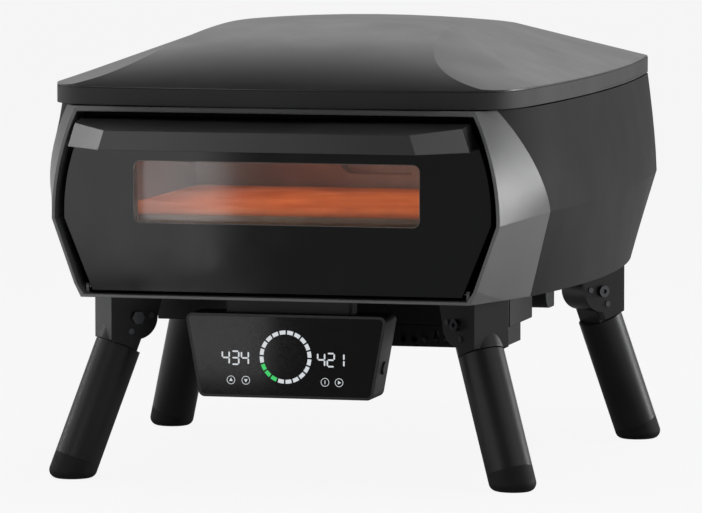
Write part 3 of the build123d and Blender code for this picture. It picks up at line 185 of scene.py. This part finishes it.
def bakedGlass():
    # inner pane of borosilicate: clear, with a thin brown film baked on by fat
    material, tree, shader, place = startMaterial("borosilicateGlass", Roughness=innerPane["rough"], IOR=1.47)
    film = addNode(tree, "ShaderNodeTexNoise", Vector=place,
                   Scale=1 / (innerPane["film"] * mm), Detail=5.0).outputs["Fac"]
    colour = addNode(tree, "ShaderNodeMix", {"data_type": "RGBA"}, i0=film,
                     i6=toLinear(innerPane["dark"]), i7=toLinear(innerPane["light"]))
    cover = addNode(tree, "ShaderNodeMapRange", Value=film, From_Min=0.35, From_Max=0.75,
                    To_Min=innerPane["least"], To_Max=innerPane["most"])
    tree.links.new(colour.outputs[2], shader.inputs["Base Color"])
    both = addNode(tree, "ShaderNodeMixShader", i0=cover.outputs[0], i1=clearPane(tree), i2=shader.outputs[0])
    tree.links.new(both.outputs[0], tree.nodes["Material Output"].inputs["Surface"])
    return material


panelCover = {"dust": 2.5, "dark": "#020203", "light": "#0c0d0e",
              "gloss": 0.09, "smooth": 0.07, "rough": 0.14}


def castAcrylic():
    # cast acrylic over the display: near black and mirror smooth, with a few dust marks
    material, tree, shader, place = startMaterial("castAcrylic", IOR=1.49,
                                                  Specular_IOR_Level=panelCover["gloss"])
    dust = addNode(tree, "ShaderNodeTexNoise", Vector=place,
                   Scale=1 / (panelCover["dust"] * mm), Detail=2.0).outputs["Fac"]
    marks = addNode(tree, "ShaderNodeMapRange", Value=dust, From_Min=0.62, From_Max=0.9).outputs[0]
    colour = addNode(tree, "ShaderNodeMix", {"data_type": "RGBA"}, i0=marks,
                     i6=toLinear(panelCover["dark"]), i7=toLinear(panelCover["light"]))
    gloss = addNode(tree, "ShaderNodeMapRange", Value=dust, From_Min=0.3, From_Max=0.8,
                    To_Min=panelCover["smooth"], To_Max=panelCover["rough"])
    tree.links.new(colour.outputs[2], shader.inputs["Base Color"])
    tree.links.new(gloss.outputs[0], shader.inputs["Roughness"])
    return material


finishes["door_glass"] = frittedGlass()
finishes["inner_glass"] = bakedGlass()
finishes["panel_glass"] = castAcrylic()

# plastics: grain is the mould's spark pattern in mm
mouldings = {
    "panel_plastic": {"name": "panelAbs", "dark": "#0d0e0f", "light": "#131415", "rough": 0.50, "grain": 0.5},
    "fan_plastic": {"name": "fanNylon", "dark": "#111213", "light": "#191a1a", "rough": 0.56, "grain": 0.5},
    "socket_plastic": {"name": "socketNylon", "dark": "#0e0f10", "light": "#161718",
                       "rough": 0.40, "grain": 0.4},
}
mouldSurface = {"tone": 25.0, "smoother": 0.05, "rougher": 0.06, "edge": 0.5, "depth": 0.02}


def mouldedPlastic(name, dark, light, rough, grain):
    # plastic from a spark-eroded mould: an even fine matte grain and softened corners
    material, tree, shader, place = startMaterial(name, IOR=1.53, Specular_IOR_Level=0.3)
    cells = addNode(tree, "ShaderNodeTexNoise", Vector=place,
                    Scale=1 / (grain * mm), Detail=3.0).outputs["Fac"]
    tone = addNode(tree, "ShaderNodeTexNoise", Vector=place,
                   Scale=1 / (mouldSurface["tone"] * mm), Detail=2.0).outputs["Fac"]
    colour = addNode(tree, "ShaderNodeMix", {"data_type": "RGBA"},
                     i0=tone, i6=toLinear(dark), i7=toLinear(light))
    gloss = addNode(tree, "ShaderNodeMapRange", Value=cells, From_Min=0.3, From_Max=0.7,
                    To_Min=rough - mouldSurface["smoother"], To_Max=rough + mouldSurface["rougher"])
    edge = addNode(tree, "ShaderNodeBevel", {"samples": 4}, Radius=mouldSurface["edge"] * mm)
    bump = addNode(tree, "ShaderNodeBump", Height=cells, Strength=0.4,
                   Distance=mouldSurface["depth"] * mm, Normal=edge.outputs[0])
    tree.links.new(colour.outputs[2], shader.inputs["Base Color"])
    tree.links.new(gloss.outputs[0], shader.inputs["Roughness"])
    tree.links.new(bump.outputs[0], shader.inputs["Normal"])
    return material


for slot, values in mouldings.items():
    finishes[slot] = mouldedPlastic(**values)

# rubbers: bloom is the size in mm of the greyed patches
rubbers = {
    "foot_rubber": {"name": "nitrileFoot", "dark": "#0a0a0b", "light": "#111112", "bloom": 9.0},
    "silicone": {"name": "siliconeCord", "dark": "#151516", "light": "#202021", "bloom": 14.0},
}
rubberSurface = {"pore": 0.8, "smooth": 0.60, "rough": 0.78, "depth": 0.03}


def mouldedRubber(name, dark, light, bloom):
    # pressed rubber: dull black with grey bloom where it has been touched
    material, tree, shader, place = startMaterial(name, IOR=1.52, Specular_IOR_Level=0.25)
    patches = addNode(tree, "ShaderNodeTexNoise", Vector=place,
                      Scale=1 / (bloom * mm), Detail=6.0).outputs["Fac"]
    pores = addNode(tree, "ShaderNodeTexNoise", Vector=place,
                    Scale=1 / (rubberSurface["pore"] * mm), Detail=2.0).outputs["Fac"]
    touched = addNode(tree, "ShaderNodeMapRange", Value=patches, From_Min=0.4, From_Max=0.75).outputs[0]
    colour = addNode(tree, "ShaderNodeMix", {"data_type": "RGBA"},
                     i0=touched, i6=toLinear(dark), i7=toLinear(light))
    gloss = addNode(tree, "ShaderNodeMapRange", Value=patches,
                    To_Min=rubberSurface["smooth"], To_Max=rubberSurface["rough"])
    bump = addNode(tree, "ShaderNodeBump", Height=pores, Strength=0.4, Distance=rubberSurface["depth"] * mm)
    tree.links.new(colour.outputs[2], shader.inputs["Base Color"])
    tree.links.new(gloss.outputs[0], shader.inputs["Roughness"])
    tree.links.new(bump.outputs[0], shader.inputs["Normal"])
    return material


for slot, values in rubbers.items():
    finishes[slot] = mouldedRubber(**values)

# metals: stretch draws the lines out along X, Y or Z, line is their width in mm; the chamber's steel ahead of
# a place along Y in mm, its last entry, is painted near black: painted shade for the dark gap by the door's
# top
metals = {
    "fastener_steel": {"name": "blackedSteel", "dark": "#3c3d3f", "light": "#5a5b5f",
                       "rough": 0.34, "stretch": (1, 1, 1), "line": 0.8},
    "chamber_steel": {"name": "heatedStainless", "dark": "#6b6259", "light": "#9a9188",
                      "rough": 0.40, "stretch": (1, 12, 1), "line": 1.2, "paintedShadeAhead": -323.7},
    "sink_aluminium": {"name": "extrudedAluminium", "dark": "#9c9ea1", "light": "#b6b8bb",
                       "rough": 0.32, "stretch": (1, 20, 1), "line": 0.6},
}
# the last colour is the near black of that painted shade on the front of the chamber's steel
metalSurface = {"stain": 35.0, "smoother": 0.06, "rougher": 0.10, "depth": 0.02, "shadeBlack": "#060606"}


def drawnMetal(name, dark, light, rough, stretch, line, paintedShadeAhead=None):
    # drawn or turned metal: fine lines one way, dulled in patches by heat and oil
    material, tree, shader, place = startMaterial(name, Metallic=1.0)
    along = addNode(tree, "ShaderNodeMapping", Vector=place, Scale=[1 / s for s in stretch]).outputs[0]
    lines = addNode(tree, "ShaderNodeTexNoise", Vector=along,
                    Scale=1 / (line * mm), Detail=4.0).outputs["Fac"]
    stain = addNode(tree, "ShaderNodeTexNoise", Vector=place,
                    Scale=1 / (metalSurface["stain"] * mm), Detail=5.0).outputs["Fac"]
    colour = addNode(tree, "ShaderNodeMix", {"data_type": "RGBA"},
                     i0=stain, i6=toLinear(dark), i7=toLinear(light))
    gloss = addNode(tree, "ShaderNodeMapRange", Value=lines, From_Min=0.3, From_Max=0.7,
                    To_Min=rough - metalSurface["smoother"], To_Max=rough + metalSurface["rougher"])
    bump = addNode(tree, "ShaderNodeBump", Height=lines, Strength=0.25, Distance=metalSurface["depth"] * mm)
    # painted shade: ahead of the given place the steel is painted near black, standing in for the dark gap
    # between the door's top and the bezel
    if paintedShadeAhead:
        setback = addNode(tree, "ShaderNodeSeparateXYZ", Vector=place).outputs["Y"]
        behind = addNode(tree, "ShaderNodeMath", {"operation": "GREATER_THAN"},
                         i0=setback, i1=paintedShadeAhead * mm)
        colour = addNode(tree, "ShaderNodeMix", {"data_type": "RGBA"}, i0=behind.outputs[0],
                         i6=toLinear(metalSurface["shadeBlack"]), i7=colour.outputs[2])
    tree.links.new(colour.outputs[2], shader.inputs["Base Color"])
    tree.links.new(gloss.outputs[0], shader.inputs["Roughness"])
    tree.links.new(bump.outputs[0], shader.inputs["Normal"])
    return material


for slot, values in metals.items():
    finishes[slot] = drawnMetal(**values)

heat = {"glow": 0.8, "spacing": 14.0, "skin": ("#5a3020", "#8a4a2c"), "light": ("#c23a08", "#ff7a2a")}


def heatedSheath():
    # oxidised steel sheath with the element glowing through: dull orange in soft bands
    material, tree, shader, place = startMaterial("heatedSheath", Roughness=0.45,
                                                  Emission_Strength=heat["glow"])
    bands = addNode(tree, "ShaderNodeTexNoise", Vector=place,
                    Scale=1 / (heat["spacing"] * mm), Detail=2.0).outputs["Fac"]
    for socket, (dark, light) in (("Base Color", heat["skin"]), ("Emission Color", heat["light"])):
        shades = addNode(tree, "ShaderNodeMix", {"data_type": "RGBA"},
                         i0=bands, i6=toLinear(dark), i7=toLinear(light))
        tree.links.new(shades.outputs[2], shader.inputs[socket])
    return material


stone = {"sand": 1.6, "toast": 70.0, "buff": "#d8c1a0", "brown": "#b8916a", "grain": "#8f7355", "depth": 0.12}


def pressedStone():
    # pressed and fired cordierite: chalky buff with sand grains and toasted patches
    material, tree, shader, place = startMaterial("cordieriteStone", Roughness=0.88, IOR=1.45)
    sand = addNode(tree, "ShaderNodeTexNoise", Vector=place,
                   Scale=1 / (stone["sand"] * mm), Detail=3.0).outputs["Fac"]
    toast = addNode(tree, "ShaderNodeTexNoise", Vector=place,
                    Scale=1 / (stone["toast"] * mm), Detail=5.0).outputs["Fac"]
    browned = addNode(tree, "ShaderNodeMapRange", Value=toast, From_Min=0.35, From_Max=0.7).outputs[0]
    grains = addNode(tree, "ShaderNodeMapRange", Value=sand,
                     From_Min=0.4, From_Max=0.8, To_Max=0.35).outputs[0]
    base = addNode(tree, "ShaderNodeMix", {"data_type": "RGBA"},
                   i0=browned, i6=toLinear(stone["buff"]), i7=toLinear(stone["brown"]))
    colour = addNode(tree, "ShaderNodeMix", {"data_type": "RGBA"},
                     i0=grains, i6=base.outputs[2], i7=toLinear(stone["grain"]))
    bump = addNode(tree, "ShaderNodeBump", Height=sand, Strength=0.6, Distance=stone["depth"] * mm)
    tree.links.new(colour.outputs[2], shader.inputs["Base Color"])
    tree.links.new(bump.outputs[0], shader.inputs["Normal"])
    return material


wool = {"fibre": 3.0, "dark": "#a8a190", "light": "#dcd6c6", "depth": 0.6}


def needledWool():
    # needled mineral wool: matte pale fibres in soft clumps
    material, tree, shader, place = startMaterial("mineralWool", Roughness=0.95, Sheen_Weight=0.3)
    along = addNode(tree, "ShaderNodeMapping", Vector=place, Scale=(1.0, 0.2, 1.0)).outputs[0]
    fibres = addNode(tree, "ShaderNodeTexNoise", Vector=along,
                     Scale=1 / (wool["fibre"] * mm), Detail=8.0).outputs["Fac"]
    colour = addNode(tree, "ShaderNodeMix", {"data_type": "RGBA"},
                     i0=fibres, i6=toLinear(wool["dark"]), i7=toLinear(wool["light"]))
    bump = addNode(tree, "ShaderNodeBump", Height=fibres, Strength=0.8, Distance=wool["depth"] * mm)
    tree.links.new(colour.outputs[2], shader.inputs["Base Color"])
    tree.links.new(bump.outputs[0], shader.inputs["Normal"])
    return material


board = {"field": 60.0, "lacquer": ("#15402a", "#1b4d32"), "track": "#2c6a45", "width": 0.012}


def lacqueredBoard():
    # glass-epoxy board: green lacquer, lighter where copper tracks lie under it
    material, tree, shader, place = startMaterial("epoxyBoard", Roughness=0.35, IOR=1.5)
    dark, light = board["lacquer"]
    tracks = addNode(tree, "ShaderNodeTexBrick", Vector=place, Scale=1 / (board["field"] * mm),
                     Color1=toLinear(dark), Color2=toLinear(light), Mortar=toLinear(board["track"]),
                     Mortar_Size=board["width"])
    tree.links.new(tracks.outputs["Color"], shader.inputs["Base Color"])
    return material


finishes["rod_sheath"] = heatedSheath()
finishes["baking_stone"] = pressedStone()
finishes["wool"] = needledWool()
finishes["circuit_board"] = lacqueredBoard()
print("finishes made:", len(finishes))

for part in frame["record"]["subparts"]:
    shape = frame["nodes"][part["node"]]
    for holder in shape.material_slots:
        holder.material = finishes[part["material_slot"]]

# the lit marks on the control panel, drawn in mm across (x) and up (z)
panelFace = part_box("control_glass")[0].y
printed = {"proud": 0.08, "white": "#e9eef2", "green": "#2fe06a", "base": "#202224",
           "glow": 0.9, "dim": 0.7, "speck": 0.6}


def litPrint(name, hexColour):
    # light from a diode through a clear print: even, with the faint speckle of its diffuser
    material, tree, shader, place = startMaterial(name, Roughness=0.5, Emission_Strength=printed["glow"])
    speck = addNode(tree, "ShaderNodeTexNoise", Vector=place,
                    Scale=1 / (printed["speck"] * mm), Detail=1.0).outputs["Fac"]
    full = toLinear(hexColour)
    dimmed = [printed["dim"] * c for c in full[:3]] + [1.0]
    colour = addNode(tree, "ShaderNodeMix", {"data_type": "RGBA"}, i0=speck, i6=dimmed, i7=full)
    tree.links.new(colour.outputs[2], shader.inputs["Emission Color"])
    shader.inputs["Base Color"].default_value = toLinear(printed["base"])
    return material


def printOnPanel(name, outlines, finish):
    # thin shapes lying on the panel's glass
    mesh = bmesh.new()
    for outline in outlines:
        near = [mesh.verts.new((x * mm, panelFace - printed["proud"] * mm, z * mm)) for x, z in outline]
        far = [mesh.verts.new((x * mm, panelFace, z * mm)) for x, z in outline]
        mesh.faces.new(near)
        mesh.faces.new(far[::-1])
        for i in range(len(outline)):
            mesh.faces.new((near[i - 1], far[i - 1], far[i], near[i]))
    bmesh.ops.recalc_face_normals(mesh, faces=mesh.faces)
    data = bpy.data.meshes.new(name)
    mesh.to_mesh(data)
    mesh.free()
    data.materials.append(finish)
    made = bpy.data.objects.new(name, data)
    bpy.context.scene.collection.objects.link(made)
    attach(made, "oven")


def polar(centre, radius, degrees):
    angle = math.radians(degrees)
    return centre[0] + radius * math.cos(angle), centre[1] + radius * math.sin(angle)


def ringPiece(centre, inner, outer, start, sweep, steps=6):
    turns = [start + sweep * i / steps for i in range(steps + 1)]
    return [polar(centre, outer, t) for t in turns] + [polar(centre, inner, t) for t in turns[::-1]]


whiteLight = litPrint("whiteDiodePrint", printed["white"])
greenLight = litPrint("greenDiodePrint", printed["green"])

# the ring of marks: gap is the dark share of each, lit the angles between which they are green, in degrees
dial = {"centre": (0.0, 139.5), "outer": 28.6, "inner": 24.4, "count": 20, "gap": 0.22, "lit": (200, 250)}

ringMarks = {"white": [], "green": []}
step = 360 / dial["count"]
for i in range(dial["count"]):
    start = 90 + step * i
    green = dial["lit"][0] < (start + step / 2) % 360 < dial["lit"][1]
    ringMarks["green" if green else "white"].append(
        ringPiece(dial["centre"], dial["inner"], dial["outer"], start, step * (1 - dial["gap"])))
printOnPanel("ring_white", ringMarks["white"], whiteLight)
printOnPanel("ring_green", ringMarks["green"], greenLight)

digit = {"height": 14.0, "width": 7.6, "bar": 1.7, "gap": 0.35, "pitch": 10.6, "low": 130.5}
readings = {"left": ("434", -70.0), "right": ("421", 35.5)}   # its figures and where it starts along x


def digitBars(figure, x, z):
    # the bars of one seven-bar figure, its lower left corner at x, z
    wide, tall, half, gap = digit["width"], digit["height"], digit["bar"] / 2, digit["gap"]
    level = {"a": tall, "g": tall / 2, "d": 0}
    upright = {"f": (0, tall / 2), "b": (wide, tall / 2), "e": (0, 0), "c": (wide, 0)}
    shown = {"1": "bc", "2": "abged", "3": "abgcd", "4": "fgbc"}[figure]
    shapes = []
    for bar in shown:
        if bar in level:
            mid, left, right = z + level[bar], x + gap, x + wide - gap
            shapes.append([(left, mid), (left + half, mid - half), (right - half, mid - half),
                           (right, mid), (right - half, mid + half), (left + half, mid + half)])
        else:
            mid, low = x + upright[bar][0], z + upright[bar][1] + gap
            top = low + tall / 2 - 2 * gap
            shapes.append([(mid, low), (mid + half, low + half), (mid + half, top - half),
                           (mid, top), (mid - half, top - half), (mid - half, low + half)])
    return shapes


for side, (figures, left) in readings.items():
    bars = []
    for i, figure in enumerate(figures):
        bars += digitBars(figure, left + i * digit["pitch"], digit["low"])
    printOnPanel(f"reading_{side}", bars, whiteLight)

# round icons: place along x and where the arrow in it points, in degrees; the one without has a bar
icon = {"radius": 4.6, "line": 0.6, "z": 113.5, "arrow": 2.3, "barWide": 0.8, "barTall": 4.0}
iconMarks = {"up": (-60.5, 90), "down": (-44.0, -90), "bar": (43.5, None), "play": (59.0, 0)}

for mark, (x, tip) in iconMarks.items():
    centre = (x, icon["z"])
    shapes = [ringPiece(centre, icon["radius"] - icon["line"], icon["radius"], 90 * quarter, 90, 8)
              for quarter in range(4)]
    if tip is None:
        left, right = x - icon["barWide"] / 2, x + icon["barWide"] / 2
        low, top = icon["z"] - icon["barTall"] / 2, icon["z"] + icon["barTall"] / 2
        shapes.append([(left, low), (right, low), (right, top), (left, top)])
    else:
        shapes.append([polar(centre, icon["arrow"], tip + corner) for corner in (0, 120, 240)])
    printOnPanel(f"icon_{mark}", shapes, whiteLight)
print("display drawn")

# the paper floor: shade dims it round the oven as shiny parts mirror it, by metres from the middle
studio = {"size": 60.0, "floor": "#f4f4f4", "shaded": "#303030", "plain": "#d8d8d8",
          "shade": {"From_Min": 0.35, "From_Max": 0.75, "To_Min": 0.12, "To_Max": 1.0}}

bpy.ops.mesh.primitive_plane_add(size=studio["size"])
floor = bpy.context.object
floor.name = "studio_floor"


def paperRoll():
    # matte paper: the camera sees it white with the shadow on it, shiny parts see it shaded,
    # and soft bounced light meets plain grey paper
    material = bpy.data.materials.new("floorPaper")
    material.use_nodes = True
    tree = material.node_tree
    tree.nodes.clear()
    path = addNode(tree, "ShaderNodeLightPath").outputs
    direct = addNode(tree, "ShaderNodeMath", {"operation": "MAXIMUM"},
                     i0=path["Is Camera Ray"], i1=path["Is Glossy Ray"])
    seen = addNode(tree, "ShaderNodeMath", {"operation": "MAXIMUM"},
                   i0=direct.outputs[0], i1=path["Is Transmission Ray"])
    shaded = addNode(tree, "ShaderNodeBsdfDiffuse", Color=toLinear(studio["shaded"]))
    spot = addNode(tree, "ShaderNodeTexCoord").outputs["Object"]
    away = addNode(tree, "ShaderNodeVectorMath", {"operation": "LENGTH"}, i0=spot).outputs["Value"]
    shade = addNode(tree, "ShaderNodeMapRange", Value=away, **studio["shade"]).outputs[0]
    bright = addNode(tree, "ShaderNodeMath", {"operation": "MAXIMUM"}, i0=shade, i1=path["Is Camera Ray"])
    paper = addNode(tree, "ShaderNodeEmission", Color=toLinear(studio["floor"]), Strength=bright.outputs[0])
    lit = addNode(tree, "ShaderNodeAddShader", i0=shaded.outputs[0], i1=paper.outputs[0])
    plain = addNode(tree, "ShaderNodeBsdfDiffuse", Color=toLinear(studio["plain"]))
    mixed = addNode(tree, "ShaderNodeMixShader", i0=seen.outputs[0], i1=plain.outputs[0], i2=lit.outputs[0])
    addNode(tree, "ShaderNodeOutputMaterial", Surface=mixed.outputs[0])
    return material


floor.data.materials.append(paperRoll())

# the room: pale behind the oven and dim in front of it, fading upwards, darker close to the horizon
room = {
    "wall": {"From_Min": -0.5, "From_Max": 0.95, "To_Min": 0.10, "To_Max": 0.85},
    "fade": {"From_Min": 0.2, "From_Max": 0.75, "To_Min": 1.3, "To_Max": 0.75},
    "haze": {"From_Min": 0.12, "From_Max": 0.28, "To_Min": 0.42, "To_Max": 1.10},
}


def roomAir():
    # the camera sees the paper's white, everything else meets the room
    air = bpy.data.worlds.new("studioAir")
    air.use_nodes = True
    tree = air.node_tree
    way = addNode(tree, "ShaderNodeTexCoord").outputs["Generated"]
    aim = addNode(tree, "ShaderNodeSeparateXYZ", Vector=way).outputs
    wall = addNode(tree, "ShaderNodeMapRange", Value=aim["Y"], **room["wall"])
    fade = addNode(tree, "ShaderNodeMapRange", Value=aim["Z"], **room["fade"])
    haze = addNode(tree, "ShaderNodeMapRange", Value=aim["Z"], **room["haze"])
    both = addNode(tree, "ShaderNodeMath", {"operation": "MULTIPLY"}, i0=fade.outputs[0], i1=haze.outputs[0])
    level = addNode(tree, "ShaderNodeMath", {"operation": "MULTIPLY"}, i0=wall.outputs[0], i1=both.outputs[0])
    path = addNode(tree, "ShaderNodeLightPath").outputs
    shown = addNode(tree, "ShaderNodeMix", {"data_type": "FLOAT"},
                    i0=path["Is Camera Ray"], i2=level.outputs[0], i3=1.0)
    background = tree.nodes["Background"]
    background.inputs["Color"].default_value = toLinear(studio["floor"])
    tree.links.new(shown.outputs[0], background.inputs["Strength"])
    return air


bpy.context.scene.world = roomAir()

# soft boxes: where each stands and looks, its width and height in metres, its watts
softBoxes = {
    "boxRight": {
        "place": (2.45, 1.5, 0.42), "aim": (0.25, -0.28, 0.35), "size": (0.8, 0.7), "power": 29},
    "boxRightSide": {
        "place": (3.1, -1.0, 1.3), "aim": (0.2, -0.4, 0.38), "size": (1.2, 1.2), "power": 14},
    "boxFrontRight": {
        "place": (2.0, -2.0, 1.65), "aim": (0.2, -0.3, 0.1), "size": (1.0, 1.0), "power": 6},
    "boxLeft": {
        "place": (-2.9, 0.35, 0.75), "aim": (-0.2, -0.4, 0.35), "size": (0.5, 0.7), "power": 10.2},
    "boxLeftSide": {
        "place": (-2.65, -1.4, 0.8), "aim": (-0.1, -0.29, 0.1), "size": (1.6, 0.9), "power": 12},
    "boxFrontLeft": {
        "place": (-0.89, -2.3, 0.30), "aim": (-0.89, -0.35, 0.30), "size": (0.6, 0.5), "power": 4.2},
    "boxPanel": {
        "place": (-0.515, -1.3, 0.055), "aim": (-0.515, -0.3, 0.055), "size": (0.47, 0.10), "power": 0.9},
    "boxOver": {
        "place": (0.2, -0.6, 2.8), "aim": (0, 0, 0.3), "size": (2.6, 2.2), "power": 70, "mirrored": False},
    "chamberGlow": {
        "place": (0.0, -0.10, 0.372), "aim": (0.0, -0.10, 0.2), "size": (0.36, 0.34), "power": 0.38,
        "tint": "#ff8a40"},
    "chamberFill": {
        "place": (-0.10, -0.30, 0.368), "aim": (-0.12, 0.10, 0.33), "size": (0.16, 0.02), "power": 0.02,
        "tint": "#fff0e8"},
}


def softBox(name, place, aim, size, power, tint="#ffffff", mirrored=True):
    # a lamp that the camera doesn't see, and that shiny parts mirror unless told otherwise
    data = bpy.data.lights.new(name, "AREA")
    data.shape = "RECTANGLE"
    data.size, data.size_y = size
    data.energy = power
    data.color = toLinear(tint)[:3]
    lamp = bpy.data.objects.new(name, data)
    bpy.context.scene.collection.objects.link(lamp)
    lamp.location = place
    lamp.rotation_euler = (Vector(aim) - Vector(place)).to_track_quat("-Z", "Y").to_euler()
    lamp.visible_camera = False
    lamp.visible_glossy = mirrored


for name, values in softBoxes.items():
    softBox(name, **values)

# the photo's camera, worked out from its perspective: metres, degrees and mm
photoView = {"place": (1.61807, -6.50925, 0.79569), "turn": 14.0, "down": 4.89, "lens": 308.8,
             "sensor": 36.0, "reach": 100.0}
lensData = bpy.data.cameras.new("photoCamera")
lensData.lens = photoView["lens"]
lensData.sensor_width = photoView["sensor"]
lensData.clip_end = photoView["reach"]
camera = bpy.data.objects.new("photoCamera", lensData)
bpy.context.scene.collection.objects.link(camera)
camera.location = photoView["place"]
camera.rotation_euler = (math.radians(90 - photoView["down"]), 0, math.radians(photoView["turn"]))
bpy.context.scene.camera = camera
bpy.context.scene.view_settings.view_transform = "Standard"
print("studio set")
